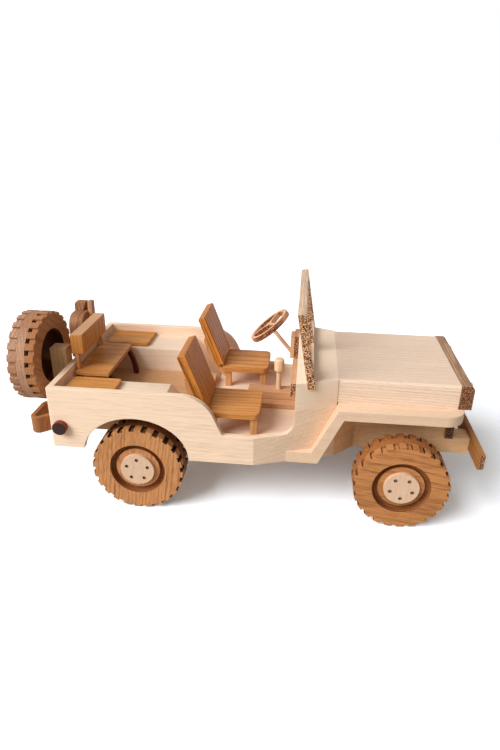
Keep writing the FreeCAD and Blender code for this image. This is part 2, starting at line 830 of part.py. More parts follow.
# Pale hub disc with small blind holes on a circle.
def hub(turn_deg):
    disc = cylinder_y(0, 0, hub_r, -hub_face_y, -hub_face_y + hub_thickness)
    for i in range(hub_hole_count):
        a = math.radians(turn_deg) + 2 * math.pi * i / hub_hole_count
        hole = turned(hub_hole_r, hub_hole_sides, -hub_face_y, -hub_face_y + hub_hole_depth)
        hole.translate(FreeCAD.Vector(hub_hole_circle_r * math.cos(a), 0,
                                      hub_hole_circle_r * math.sin(a)))
        disc = disc.cut(hole)
    return disc


def at_axle(shape, x):
    moved = shape.copy()
    moved.translate(FreeCAD.Vector(x, 0, axle_z))
    return moved


# The spare hangs behind the tailgate with its hollow back side towards the body.
def spare_tyre():
    spare = tyre(spare_lug_turn_deg)
    spare.translate(FreeCAD.Vector(0, wheel_face_y, 0))
    spare.rotate(FreeCAD.Vector(0, 0, 0), Z_AXIS, -90)
    spare.translate(FreeCAD.Vector(spare_rear_x, spare_y, spare_z))
    return spare


def spare_peg():
    end_x = spare_rear_x + wheel_face_y - boss_face_y
    return cylinder_x(spare_y, spare_z, axle_r, end_x, spare_face_x)


def export(name, shape):
    placed = shape.copy()
    placed.translate(FreeCAD.Vector(-origin_x, 0, 0))
    placed.exportStep("parts/" + name + ".step")


# Two like pieces, right and left, in one file.
def export_both(name, right):
    export(name, Part.makeCompound([right, mirrored(right)]))


def export_pair(name, right):
    export(name + "_right", right)
    export(name + "_left", mirrored(right))


export("floor", floor())
export("rear_floor", rear_floor())
export("tailgate", tailgate())
export("firewall", firewall())
export("cowl", cowl())
export("hood", hood())
export("grille", grille())
export("cross_board", cross_board())
export("front_bumper", front_bumper())
export("tunnel_low", tunnel_low())
export("tunnel_high", tunnel_high())
export("gear_lever", gear_lever())
export("bench_seat", bench_seat())
export("bench_back", bench_back())
export("bench_struts", bench_struts())
export("bench_legs", bench_legs())
export("dash_board", dash_board())
export("column_block", column_block())
export("column_pad", column_pad())
export("steering_column", steering_column())
export("steering_wheel", steering_wheel())
export("windshield", windshield())
export("spare_block", spare_block())
export("spare_peg", spare_peg())
export("spare_tyre", spare_tyre())
export("fuel_can", fuel_can())
export_pair("side_board", side_board())
export_pair("wheel_well", wheel_well())
export_both("side_pads", side_pad())
export_pair("fender", fender())
export_both("chassis_rails", chassis_rail())
export_both("engine_sides", engine_side())
export_both("toe_boards", toe_board())
export_both("corner_wedges", corner_wedge())
export_pair("seat_base", seat_base())
export_pair("seat_back", seat_back())
export_pair("seat_legs", seat_legs())
export_both("rear_loops", rear_loop())
export_both("headlamps", headlamp())
export_both("tail_pegs", tail_peg())
export("axle_beam_rear", axle_beam(0))
export("axle_beam_front", axle_beam(wheelbase))
export("axle_rear", axle(0))
export("axle_front", axle(wheelbase))
export_pair("tyre_rear", at_axle(tyre(rear_lug_turn_deg), 0))
export_pair("tyre_front", at_axle(tyre(front_lug_turn_deg), wheelbase))
export_both("hubs_rear", at_axle(hub(rear_hub_turn_deg), 0))
export_both("hubs_front", at_axle(hub(front_hub_turn_deg), wheelbase))
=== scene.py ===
import math

import bmesh
import bpy
from mathutils import Matrix, Vector


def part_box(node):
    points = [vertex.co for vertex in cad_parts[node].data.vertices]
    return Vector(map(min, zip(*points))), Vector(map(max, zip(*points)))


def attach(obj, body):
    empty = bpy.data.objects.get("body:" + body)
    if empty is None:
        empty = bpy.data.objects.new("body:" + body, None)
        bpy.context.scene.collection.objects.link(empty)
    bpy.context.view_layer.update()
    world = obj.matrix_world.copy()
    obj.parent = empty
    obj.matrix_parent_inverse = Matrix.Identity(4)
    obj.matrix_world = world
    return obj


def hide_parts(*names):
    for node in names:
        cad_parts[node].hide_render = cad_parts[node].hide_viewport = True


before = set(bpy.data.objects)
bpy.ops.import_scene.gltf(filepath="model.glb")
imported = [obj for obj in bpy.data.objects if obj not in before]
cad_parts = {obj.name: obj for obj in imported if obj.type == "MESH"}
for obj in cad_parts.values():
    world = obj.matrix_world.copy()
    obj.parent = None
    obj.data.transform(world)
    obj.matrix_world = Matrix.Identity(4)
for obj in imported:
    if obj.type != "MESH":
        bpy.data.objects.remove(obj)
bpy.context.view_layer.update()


# Side boards and tailgate: thin pale maple boards, planed and sanded, with the grain along them.
# The arch and the door opening are sawn out, the boards are glued to the floor and the tailgate
# between them, and every edge is eased with fine paper.
MM = 0.001
ALONG = Vector((1, 0, 0))
ACROSS = Vector((0, 1, 0))
UP = Vector((0, 0, 1))


class Reading:
    """A value read at each point of the wood. Sums on it add nodes."""

    def __init__(self, steps, socket):
        self.steps = steps
        self.socket = socket

    def worked(self, operation, first, second):
        return self.steps.step("ShaderNodeMath", {"operation": operation}, {0: first, 1: second})

    def __add__(self, other):
        return self.worked("ADD", self, other)

    def __radd__(self, other):
        return self.worked("ADD", other, self)

    def __sub__(self, other):
        return self.worked("SUBTRACT", self, other)

    def __rsub__(self, other):
        return self.worked("SUBTRACT", other, self)

    def __mul__(self, other):
        return self.worked("MULTIPLY", self, other)

    def __rmul__(self, other):
        return self.worked("MULTIPLY", other, self)

    def __pow__(self, other):
        return self.worked("POWER", self, other)


class Steps:
    """A chain of steps on one tree of nodes."""

    def __init__(self, tree):
        self.nodes = tree.nodes
        self.links = tree.links
        self.nodes.clear()

    def step(self, kind, settings=None, sockets=None, gives=0):
        node = self.nodes.new(kind)
        for name, value in (settings or {}).items():
            if name == "stops":
                node.color_ramp.elements.remove(node.color_ramp.elements[1])
                node.color_ramp.elements[0].position = value[0][0]
                node.color_ramp.elements[0].color = (value[0][1],) * 3 + (1,)
                for place, level in value[1:]:
                    node.color_ramp.elements.new(place).color = (level,) * 3 + (1,)
            else:
                setattr(node, name, value)
        for name, value in (sockets or {}).items():
            if isinstance(value, Reading):
                self.links.new(value.socket, node.inputs[name])
            else:
                node.inputs[name].default_value = value
        return Reading(self, node.outputs[gives]) if node.outputs else None


class Finish(Steps):
    """One material, from the readings on the piece to its colour, sheen and relief."""

    def __init__(self, name):
        self.material = bpy.data.materials.new(name)
        self.material.use_nodes = True
        super().__init__(self.material.node_tree)

    def ramp(self, value, stops):
        return self.step("ShaderNodeValToRGB", {"stops": stops}, {0: value})

    def along(self, place, direction):
        return self.step("ShaderNodeVectorMath", {"operation": "DOT_PRODUCT"},
                         {0: place, 1: direction}, gives=1)

    def noise(self, length, side, depth, detail, rough=0.5):
        vector = self.step("ShaderNodeCombineXYZ", None, {0: length, 1: side, 2: depth})
        return self.step("ShaderNodeTexNoise", None,
                         {"Vector": vector, "Scale": 1.0, "Detail": detail, "Roughness": rough})

    def blended(self, share, first, second, way="MIX"):
        return self.step("ShaderNodeMix", {"data_type": "RGBA", "blend_type": way},
                         {0: share, 6: first, 7: second}, gives=2)

    def sealed(self, colour, roughness, height, depth):
        oil_sheen = 0.12
        dent = self.step("ShaderNodeBump", None,
                         {"Strength": 1.0, "Distance": depth * MM, "Height": height})
        coat = self.step("ShaderNodeBsdfPrincipled", None,
                         {"Base Color": colour, "Roughness": roughness, "Normal": dent,
                          "Specular IOR Level": oil_sheen})
        self.step("ShaderNodeOutputMaterial", None, {"Surface": coat})
        return self.material


def paint(red, green, blue):
    """A colour as seen on a screen, 0 to 255, as the light that it gives back."""
    return tuple((v / 255 / 12.92) if v < 11 else ((v / 255 + 0.055) / 1.055) ** 2.4
                 for v in (red, green, blue)) + (1,)


def sawn(name, wood, grain, heart):
    """Wood as sawn, with its fibres along grain, from a trunk whose middle was at heart.

    heart is in mm to the side of the piece and above it: far off it gives straight lines, and near
    by it gives arches. a and b are the places across the grain in mm, and the number beside a place
    is how many waves of a pattern lie on each mm there.
    """
    grain = grain.normalized()
    side = grain.cross(UP if abs(grain.z) < 0.7 else ACROSS).normalized()
    deep = grain.cross(side)
    work = Finish(name)
    where = work.step("ShaderNodeTexCoord", gives=3)
    facing = work.step("ShaderNodeTexCoord", gives=1)
    length = work.along(where, grain / MM)
    a = work.along(where, side / MM) + heart[0]
    b = work.along(where, deep / MM) + heart[1]
    sway = work.noise(length * 0.007, a * 0.02, b * 0.02, 2)
    radius = (a * a + b * b) ** 0.5 + (sway - 0.5) * wood["sway"]
    years = radius * (1 / wood["ring"]) + work.noise(radius * 0.09, 0, 0, 2) * 3
    in_year = work.step("ShaderNodeMath", {"operation": "FRACT"}, {0: years})
    late = work.ramp(in_year, [(0.0, 0.0), (0.45, 0.15), (0.86, 1.0), (1.0, 0.0)])
    band = work.noise(length * 0.006, a * 0.055, b * 0.055, 3)
    streak = work.noise(length * 0.018, a * 0.6, b * 0.6, 4, 0.6)
    fibre = work.noise(length * 0.09, a * 3.2, b * 3.2, 3, 0.6)
    pore = work.ramp(work.noise(length * wood["pore_length"], a * 2.8, b * 2.8, 1),
                     [(0.56, 0.0), (0.66, 1.0)])
    cut = work.step("ShaderNodeMath", {"operation": "ABSOLUTE"}, {0: work.along(facing, grain)})
    end = work.ramp(cut, [(0.62, 0.0), (0.9, 1.0)])
    # The term along the length darkens the wood toward one end, as painted shade falling off along a
    # board.
    depth = (late * wood["late_share"] + (band - 0.5) * wood["band_share"]
             + (streak - 0.5) * wood["streak_share"] + (fibre - 0.5) * wood["fibre_share"]
             + pore * wood["pore_share"] + (length + 50) * wood["falloff_shade"])
    colour = work.blended(work.ramp(depth, [(0.0, 0.0), (1.0, 1.0)]), wood["early"], wood["late"])
    colour = work.blended(end * wood["end_share"], colour, wood["end"])
    height = streak * 0.4 + fibre * 0.5 - pore * 1.2 + late * 0.3
    return work.sealed(colour, wood["gloss"] + fibre * 0.16, height, wood["relief"])


# The solids as sawn, with their curves sanded smooth and their corners kept crisp.
sanded = bpy.data.node_groups.new("Sanded", "GeometryNodeTree")
sanded.interface.new_socket("Geometry", in_out="INPUT", socket_type="NodeSocketGeometry")
sanded.interface.new_socket("Geometry", in_out="OUTPUT", socket_type="NodeSocketGeometry")
crisp_from = sanded.interface.new_socket("Corner", in_out="INPUT", socket_type="NodeSocketFloat")
sanding = Steps(sanded)
smooth = sanding.step("GeometryNodeSetShadeSmooth", None, {"Geometry": sanding.step("NodeGroupInput")})
is_corner = sanding.step("FunctionNodeCompare", {"data_type": "FLOAT", "operation": "GREATER_THAN"},
                         {0: sanding.step("GeometryNodeInputMeshEdgeAngle"),
                          1: sanding.step("NodeGroupInput", gives=1)})
crisp = sanding.step("GeometryNodeSetShadeSmooth", {"domain": "EDGE"},
                     {"Geometry": smooth, "Selection": is_corner, "Shade Smooth": False})
sanding.step("NodeGroupOutput", None, {0: crisp})

eased_turn = 32
crisp_turn = 20


def eased(piece, edge=0.4, corner=crisp_turn):
    """Breaks the edges to a width in mm. A turn of more than corner, in degrees, stays crisp."""
    broken = piece.modifiers.new("Eased edges", "BEVEL")
    broken.width = edge * MM
    broken.segments = 2
    broken.limit_method = "ANGLE"
    broken.angle_limit = math.radians(eased_turn)
    smoothed = piece.modifiers.new("Sanded", "NODES")
    smoothed.node_group = sanded
    smoothed[crisp_from.identifier] = math.radians(corner)
    return piece


def board(node, finish, edge=0.4, corner=crisp_turn):
    """A solid carried over, with its faces planed flat, its own finish and its edges eased."""
    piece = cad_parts[node]
    joined = piece.modifiers.new("Joined", "WELD")
    joined.merge_threshold = 0.01 * MM
    planed = piece.modifiers.new("Planed", "DECIMATE")
    planed.decimate_type = "DISSOLVE"
    planed.angle_limit = math.radians(0.6)
    piece.data.materials.clear()
    piece.data.materials.append(finish)
    return eased(piece, edge, corner)


maple = {
    "early": paint(250, 224, 200), "late": paint(228, 182, 150), "end": paint(222, 182, 150),
    "ring": 3.4, "sway": 9.0, "late_share": 0.2, "band_share": 0.4, "streak_share": 0.6,
    "fibre_share": 0.4, "pore_length": 0.22, "pore_share": 0.3, "end_share": 0.55,
    "gloss": 0.42, "relief": 0.03, "falloff_shade": 0,
}
# The side boards grow darker toward the front of the car, as painted shade for light falling off along
# them.
side_maple = dict(maple, early=paint(254, 229, 204), late=paint(218, 186, 160), falloff_shade=0.0024,
                  fibre_share=0.8, pore_share=0.5, pore_length=0.06)
side_bend = 18.4
for side, heart in (("right", (160, -240)), ("left", (190, -150))):
    board("side_board_" + side, sawn("side board " + side, side_maple, ALONG, heart), corner=side_bend)
board("tailgate", sawn("tailgate board", maple, ACROSS, (120, -260)))


# Floors, rails and firewall: the same maple in boards and square strips, glued up under the body.
# The two wheel wells are boxes of thin board with a slanting front, and a beam across each end of
# the rails carries an axle.
board("floor", sawn("floor board", maple, ALONG, (-60, -330)))
# The rear floor is coloured darker brown than the other floors, as painted shade under the bench.
rear_floor_shade_maple = dict(maple, early=paint(208, 162, 120), late=paint(170, 116, 74))
board("rear_floor", sawn("rear floor board", rear_floor_shade_maple, ALONG, (40, -280)))
board("firewall", sawn("firewall board", maple, ACROSS, (90, 310)))
well_maple = dict(maple, early=paint(247, 228, 206), late=paint(224, 192, 160))
for well, heart in (("wheel_well_right", (150, -190)), ("wheel_well_left", (-170, -220))):
    board(well, sawn(well.replace("_", " "), well_maple, ALONG, heart))
rail_wood = dict(maple, early=paint(238, 198, 154), late=paint(196, 148, 104))
rail_finish = sawn("rail strip", rail_wood, ALONG, (60, -140))
for strip in ("chassis_rails", "engine_sides"):
    board(strip, rail_finish)
board("corner_wedges", sawn("corner wedge", rail_wood, ALONG, (200, 130)))
board("toe_boards", sawn("slanting board", rail_wood, Vector((1, 1, 0)), (110, 160)))
for beam in ("axle_beam_front", "axle_beam_rear"):
    board(beam, sawn(beam.replace("_", " "), rail_wood, ACROSS, (70, -200)))


# Cowl and bonnet: maple blocks glued on the engine sides, the bonnet a shade greyer with fine
# straight lines along it. The cowl's sides taper in to the fenders.
hood_maple = dict(maple, early=paint(242, 219, 200), late=paint(206, 172, 141), late_share=0.5,
                  streak_share=0.85, ring=1.8)
board("hood", sawn("bonnet block", hood_maple, ALONG, (-420, -300)), edge=0.2)
# The cowl's maple is paler than the rest, as painted light against the windshield's shadow on it.
cowl_lightened_maple = dict(maple, early=paint(255, 234, 212), late=paint(246, 210, 180))
board("cowl", sawn("cowl block", cowl_lightened_maple, ALONG, (30, -410)), edge=0.2)


# Fenders: each is one thick maple board, sawn to a foot, a slope and a flat top with a round
# corner, and glued to the side of the body and the engine sides.
front_maple = dict(maple, early=paint(230, 202, 176), late=paint(204, 166, 136))
board("fender_right", sawn("fender right", front_maple, ALONG, (250, -60)))
board("fender_left", sawn("fender left", front_maple, ALONG, (-250, -100)))


# Radiator board, bumper, cross board and dash: palm wood, with dark bundles in a tan ground. They
# show as dots on the sawn ends and as fine streaks along the boards, which all run across the car.
# The steering column's pad and the lamp discs are plain maple, glued on.
def palm(name, wood):
    """Palm wood with its bundles across the car. The dots show where the cut goes through them."""
    work = Finish(name)
    where = work.step("ShaderNodeTexCoord", gives=3)
    facing = work.step("ShaderNodeTexCoord", gives=1)
    length = work.along(where, ACROSS / MM)
    a = work.along(where, ALONG / MM)
    b = work.along(where, -UP / MM)
    cell = work.step("ShaderNodeCombineXYZ", None,
                     {0: length * 0.035, 1: a * wood["bundles"], 2: b * wood["bundles"]})
    bundle = work.step("ShaderNodeTexVoronoi", None, {"Vector": cell, "Scale": 1.0, "Randomness": 0.9})
    dot = work.ramp(bundle, [(wood["dot"] - 0.1, 1.0), (wood["dot"] + 0.06, 0.0)])
    streak = work.noise(length * 0.02, a * 0.8, b * 0.8, 4, 0.65)
    patch = work.noise(length * 0.03, a * 0.14, b * 0.14, 2)
    fibre = work.noise(length * 0.12, a * 4.0, b * 4.0, 2)
    cut = work.step("ShaderNodeMath", {"operation": "ABSOLUTE"}, {0: work.along(facing, ACROSS)})
    end = work.ramp(cut, [(0.5, 0.0), (0.85, 1.0)])
    depth = work.ramp(streak * 0.8 + patch * 0.5 + fibre * 0.3 - 0.3, [(0.1, 0.0), (0.9, 1.0)])
    ground = work.blended(depth, wood["light"], wood["brown"])
    ground = work.blended(end * wood["end_share"], ground, wood["end"])
    share = dot * (wood["side_dots"] + end * (1 - wood["side_dots"]))
    colour = work.blended(share, ground, wood["dark"])
    return work.sealed(colour, 0.46 + fibre * 0.15, streak * 0.5 + fibre * 0.4 - dot * 0.6, 0.05)


palm_wood = {
    "light": paint(226, 186, 150), "brown": paint(154, 110, 78), "end": paint(222, 168, 122),
    "dark": paint(76, 42, 25), "bundles": 1.3, "dot": 0.59, "side_dots": 0.14, "end_share": 0.85,
}
radiator_palm = dict(palm_wood, end=paint(170, 118, 80), side_dots=0.5)
board("grille", palm("radiator board", radiator_palm))
# The cross board's end and dots are darker than on the other palm boards, as painted shade under the
# fender.
cross_palm_shade = dict(palm_wood, end=paint(130, 88, 58), dark=paint(44, 24, 14))
board("cross_board", palm("cross board", cross_palm_shade))
dash_palm = dict(palm_wood, light=paint(240, 192, 150), brown=paint(186, 128, 88))
dash_finish = palm("dash board", dash_palm)
for piece in ("dash_board", "column_block"):
    board(piece, dash_finish)
pad_wood = dict(maple, early=paint(240, 194, 146), late=paint(204, 150, 102))
board("column_pad", sawn("column pad", pad_wood, UP, (40, 30)))
bumper_palm = dict(palm_wood, light=paint(200, 140, 82), brown=paint(124, 78, 42), side_dots=0.1)
board("front_bumper", palm("bumper board", bumper_palm), edge=0.5)
dowel_maple = dict(maple, early=paint(246, 214, 178), late=paint(212, 168, 124))
board("headlamps", sawn("lamp disc", dowel_maple, ALONG, (14, -9)))


# Windshield: one palm board with two openings sawn in it and no glass, notched over the cowl and
# glued there, leaning back.
shield_palm = dict(palm_wood, light=paint(254, 230, 202), brown=paint(202, 160, 128),
                   end=paint(250, 192, 144), side_dots=0.3)
board("windshield", palm("windshield board", shield_palm), edge=0.5)


# Steering wheel and column: a ring with three spokes, sawn from one speckled piece and rounded by
# hand, on a thin dowel that leans out of its block.
column_maple = dict(dowel_maple, late=paint(196, 140, 92))
column_down = Vector((0.647, 0, -0.763))
board("steering_column", sawn("column dowel", column_maple, column_down, (9, 6)), edge=0.2)
ring_palm = dict(palm_wood, light=paint(240, 194, 156), brown=paint(200, 146, 106),
                 end=paint(196, 130, 90), dark=paint(88, 44, 28), bundles=1.05, side_dots=0.02)
board("steering_wheel", palm("steering ring", ring_palm), edge=0.5)


# Tunnel: two strips of walnut, the narrower one glued on the other, along the middle of the floor
# up to the firewall.
walnut_strip = {
    "early": paint(222, 172, 130), "late": paint(168, 114, 74), "end": paint(160, 108, 70),
    "ring": 3.0, "sway": 8.0, "late_share": 0.4, "band_share": 0.6, "streak_share": 0.8,
    "fibre_share": 0.5, "pore_length": 0.14, "pore_share": 0.35, "end_share": 0.5,
    "gloss": 0.44, "relief": 0.04, "falloff_shade": 0,
}
board("tunnel_low", sawn("tunnel strip low", walnut_strip, ALONG, (40, -80)))
board("tunnel_high", sawn("tunnel strip high", walnut_strip, ALONG, (70, -60)))


# Gear lever: turned from a pale dowel, a thin stem with a barrel head. Its foot is glued on the
# tunnel's strip, so it doesn't move.
def turned(points, sides):
    """A shape turned round the upright, from radius and height in mm, foot first."""
    shape = bmesh.new()
    corners = [shape.verts.new((radius * MM, 0, height * MM)) for radius, height in points]
    edges = [shape.edges.new(pair) for pair in zip(corners, corners[1:])]
    bmesh.ops.spin(shape, geom=corners + edges, cent=(0, 0, 0), axis=UP, angle=math.tau,
                   steps=sides, use_merge=True)
    bmesh.ops.remove_doubles(shape, verts=shape.verts, dist=0.001 * MM)
    bmesh.ops.recalc_face_normals(shape, faces=shape.faces)
    return shape


def fitted(name, shape, finishes, slot, body, *nodes):
    """A shape made a piece that rides on a body, in the place of the solids that are named."""
    mesh = bpy.data.meshes.new(name)
    shape.to_mesh(mesh)
    shape.free()
    piece = bpy.data.objects.new(name, mesh)
    bpy.context.scene.collection.objects.link(piece)
    for finish in finishes:
        mesh.materials.append(finish)
    if nodes:
        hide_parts(*nodes)
    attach(piece, body)
    return piece


low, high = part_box("gear_lever")
lever_tall = (high.z - low.z) / MM
lever_sides = 32
stem_foot_r = 2.1
stem_top_r = 2.2
head_r = 4.2
lever_below_top = [(stem_top_r, 12.4), (2.6, 11.8), (3.7, 11.5), (4.15, 10.6), (head_r, 3.0),
                   (3.9, 1.4), (3.1, 0.5), (1.8, 0.1)]
lever_line = [(radius, lever_tall - below) for radius, below in lever_below_top]
lever = turned([(0, 0), (stem_foot_r, 0)] + lever_line + [(0, lever_tall)], lever_sides)
lever_foot = Vector(((low.x + high.x) / 2, (low.y + high.y) / 2, low.z))
bmesh.ops.translate(lever, vec=lever_foot, verts=lever.verts)
lever_finish = sawn("lever dowel", dowel_maple, UP, (7, 5))
lever_piece = fitted("gear_lever_turned", lever, [lever_finish], "pale_dowel", "body", "gear_lever")
eased(lever_piece, edge=0.15)


# Front seats: thick oak boards with an oil finish, the grain along the seat and up the back, glued.
# Curved brown braces hold each back and small square legs stand under the seat.
golden_oak = {
    "early": paint(219, 153, 85), "late": paint(146, 87, 38), "end": paint(198, 148, 102),
    "ring": 1.9, "sway": 5.0, "late_share": 0.45, "band_share": 0.45, "streak_share": 1.0,
    "fibre_share": 0.7, "pore_length": 0.07, "pore_share": 0.4, "end_share": 0.7,
    "gloss": 0.36, "relief": 0.06, "falloff_shade": 0,
}
back_oak = dict(golden_oak, early=paint(222, 142, 64), late=paint(104, 54, 20), end=paint(182, 114, 56),
                ring=2.8, sway=3.0, late_share=0.7, band_share=0.22)
back_lean = math.radians(20.8)
back_up = Vector((-math.sin(back_lean), 0, math.cos(back_lean)))
for side, shift in (("right", 0), ("left", 37)):
    board("seat_base_" + side, sawn("seat board " + side, golden_oak, ALONG, (46 + shift, -130)), edge=0.6)
    board("seat_back_" + side, sawn("seat back " + side, back_oak, back_up, (60 + shift, 96)), edge=0.6)
leg_wood = dict(walnut_strip, early=paint(214, 158, 106), late=paint(154, 98, 58))
leg_finish = sawn("leg strip", leg_wood, UP, (50, 30))
for legs in ("seat_legs_right", "seat_legs_left"):
    board(legs, leg_finish)


# Rear bench and side seats: the same oak. The bench stands on curved legs, coloured dark as painted
# shade under it, two struts hold its back board, and the side seats lie on the wheel wells.
board("bench_seat", sawn("bench seat", golden_oak, ALONG, (-30, -110)), edge=0.6)
bench_oak = dict(golden_oak, end=paint(212, 164, 126), end_share=0.9)
board("bench_back", sawn("bench back", bench_oak, UP, (70, 60)), edge=0.8)
pad_oak = dict(golden_oak, late_share=0.25)
board("side_pads", sawn("side seat", pad_oak, ALONG, (90, -150)), edge=0.6)
board("bench_struts", sawn("bench strut", leg_wood, UP, (50, 30)))
# The bench legs' dark brown is painted shade under the bench.
shaded_leg = dict(leg_wood, early=paint(100, 46, 28), late=paint(60, 26, 16))
board("bench_legs", sawn("bench leg", shaded_leg, UP, (50, 30)))


# Tyres: three turned layers of brown wood glued face to face, the middle one plain and as high as
# the lugs sawn round the others. Each gap of the inner layer has a pocket beside it. The cuts are
# coloured near black: painted shade in the pockets, at the back of the gaps and all over the rear
# tyres' gaps, and a darker colour on the front gaps' walls. The outer face is dished round a raised
# ring, and the inner side is hollow.
lugs = 24
lug_steps = 8
gap_steps = 6
gap_share = gap_steps / (lug_steps + gap_steps)
tyre_r = 36.0
root_r = 34.2
middle_r = 35.8
pocket_r = 31.0
dish_r = 21.9
dish_depth = 5.5
ring_r = 17.5
wheel_ring_height = 3.2
spare_ring_height = 2.9
layer = 7.0
pocket_wide = 2.2
hollow_depth = 10.0
middle_sides = 144
# How far a measured place may be off when the faces are told apart by where they lie.
hair = 0.1
FACE, MIDDLE, INNER, GROOVE, HOLLOW, CUT_SHADE = range(6)


def raised(shape, faces, rise):
    """Pulls a patch of faces up by rise, and gives the faces at its top."""
    pulled = bmesh.ops.extrude_face_region(shape, geom=faces)["geom"]
    bmesh.ops.translate(shape, vec=(0, 0, rise * MM),
                        verts=[v for v in pulled if isinstance(v, bmesh.types.BMVert)])
    return [f for f in pulled if isinstance(f, bmesh.types.BMFace)]


def ringed(radii, sides, start):
    """A flat sheet of rings, one face a side, from the largest radius in."""
    shape = bmesh.new()
    bmesh.ops.create_circle(shape, segments=sides, radius=radii[0] * MM)
    bmesh.ops.rotate(shape, matrix=Matrix.Rotation(math.radians(start - 90), 3, "Z"), verts=shape.verts)
    edges = shape.edges[:]
    for outside, inside in zip(radii, radii[1:]):
        ring = bmesh.ops.extrude_edge_only(shape, edges=edges)["geom"]
        bmesh.ops.scale(shape, vec=(inside / outside, inside / outside, 1),
                        verts=[v for v in ring if isinstance(v, bmesh.types.BMVert)])
        edges = [e for e in ring if isinstance(e, bmesh.types.BMEdge)]
    return shape, edges


def out_from_middle(face):
    return face.calc_center_median().xy.length / MM


def in_gap(face, start):
    middle = face.calc_center_median()
    turn = math.degrees(math.atan2(middle.y, middle.x)) - start
    return (turn * lugs / 360) % 1 < gap_share


def is_side(face):
    return abs(face.normal.z) < 0.5


def looks_out(face):
    """Whether a side face looks straight out or in, as a gap's floor does, and not along the rim."""
    return abs(face.normal.dot(face.calc_center_median() / MM)) > 0.5 * out_from_middle(face)


def lugged(turn, dished, dark_cuts, ring_height):
    """An outer layer, dished, or an inner one with its pockets, flat, its outer face at height 0.

    The third argument says which cuts are coloured near black: all of the cuts, the gaps' walls or
    only the pockets. In the pockets and over whole gaps it is painted shade, on the walls alone a
    darker colour.
    """
    start = turn - 180 / lugs * gap_share
    radii = [tyre_r, root_r, pocket_r, dish_r] + ([ring_r] if dished else [])
    shape, inside = ringed(radii, lugs * (lug_steps + gap_steps), start)
    if dished:
        bmesh.ops.holes_fill(shape, edges=inside, sides=0)
    gaps = [f for f in shape.faces if out_from_middle(f) > root_r and in_gap(f, start)]
    bmesh.ops.delete(shape, geom=gaps, context="FACES")
    sheet = shape.faces[:]
    pockets = set()
    if not dished:
        pockets = {f for f in sheet if pocket_r < out_from_middle(f) < root_r and in_gap(f, start)}
    walls = [f for f in sheet if f not in pockets]
    top = raised(shape, sheet, layer - pocket_wide)
    raised(shape, walls, -pocket_wide)
    bmesh.ops.delete(shape, geom=walls, context="FACES")
    shape.normal_update()
    # The cut faces get the near black finish: painted shade in the pockets and the rear gaps, a darker
    # colour on the front gaps' walls.
    cuts = [f for f in shape.faces
            if is_side(f) and pocket_r - 2 * hair < out_from_middle(f) < tyre_r - hair]
    for face in cuts:
        in_pocket = out_from_middle(face) < root_r - hair
        if in_pocket or dark_cuts == "all" or (dark_cuts == "walls" and not looks_out(face)):
            face.material_index = CUT_SHADE
    for face in [f for f in shape.faces if out_from_middle(f) < dish_r + 2 * hair]:
        face.material_index = FACE if dished else HOLLOW
    if dished:
        dish = [f for f in top if out_from_middle(f) < dish_r]
        before = set(shape.faces)
        floor = raised(shape, dish, -dish_depth)
        for face in [f for f in shape.faces if f not in before and out_from_middle(f) > ring_r]:
            face.material_index = GROOVE
        bmesh.ops.delete(shape, geom=dish, context="FACES")
        middle = [f for f in floor if out_from_middle(f) < ring_r]
        raised(shape, middle, ring_height)
        bmesh.ops.delete(shape, geom=middle, context="FACES")
    bmesh.ops.translate(shape, vec=(0, 0, (pocket_wide - layer) * MM), verts=shape.verts)
    return shape


def plain_layer(dark_cuts):
    """The layer between, with the web that closes the hollow from the outer side."""
    web_thick = 2 * layer - hollow_depth - dish_depth + wheel_ring_height
    shape, inside = ringed([middle_r, root_r, dish_r], middle_sides, 0)
    bmesh.ops.holes_fill(shape, edges=inside, sides=0)
    web = [f for f in shape.faces if out_from_middle(f) < dish_r]
    raised(shape, shape.faces[:], layer)
    raised(shape, web, web_thick)
    bmesh.ops.delete(shape, geom=web, context="FACES")
    for face in [f for f in shape.faces if out_from_middle(f) < dish_r + 2 * hair]:
        face.material_index = HOLLOW
    # On the rear and spare tyres the band seen at the back of the gaps is near black, as painted shade.
    for face in [f for f in shape.faces if root_r < out_from_middle(f) < middle_r - hair]:
        face.material_index = MIDDLE if dark_cuts == "walls" else CUT_SHADE
    bmesh.ops.translate(shape, vec=(0, 0, -2 * layer * MM), verts=shape.verts)
    return shape


def glued(layers):
    """Joins layers into one shape. Each comes with the number of its finish."""
    whole = bmesh.new()
    for shape, finish in layers:
        for face in shape.faces:
            face.material_index = max(finish, face.material_index)
        mesh = bpy.data.meshes.new("layer")
        shape.to_mesh(mesh)
        shape.free()
        whole.from_mesh(mesh)
        bpy.data.meshes.remove(mesh)
    return whole


def tyre_layers(turn, dark_cuts, ring_height):
    """A whole tyre, flat, its outer face at height 0 and its inner one three layers down."""
    inner = lugged(turn, False, dark_cuts, ring_height)
    bmesh.ops.scale(inner, vec=(1, 1, -1), verts=inner.verts)
    bmesh.ops.translate(inner, vec=(0, 0, -3 * layer * MM), verts=inner.verts)
    outer = lugged(turn, True, dark_cuts, ring_height)
    return glued([(outer, FACE), (plain_layer(dark_cuts), MIDDLE), (inner, INNER)])


def hung(shape, turning, place, flipped=False):
    """Turns a wheel piece from flat to upright, outer face to the right, or flipped to the left."""
    bmesh.ops.transform(shape, matrix=turning.to_4x4(), verts=shape.verts)
    if flipped:
        bmesh.ops.scale(shape, vec=(1, -1, 1), verts=shape.verts)
    bmesh.ops.translate(shape, vec=place, verts=shape.verts)
    bmesh.ops.recalc_face_normals(shape, faces=shape.faces)
    return shape


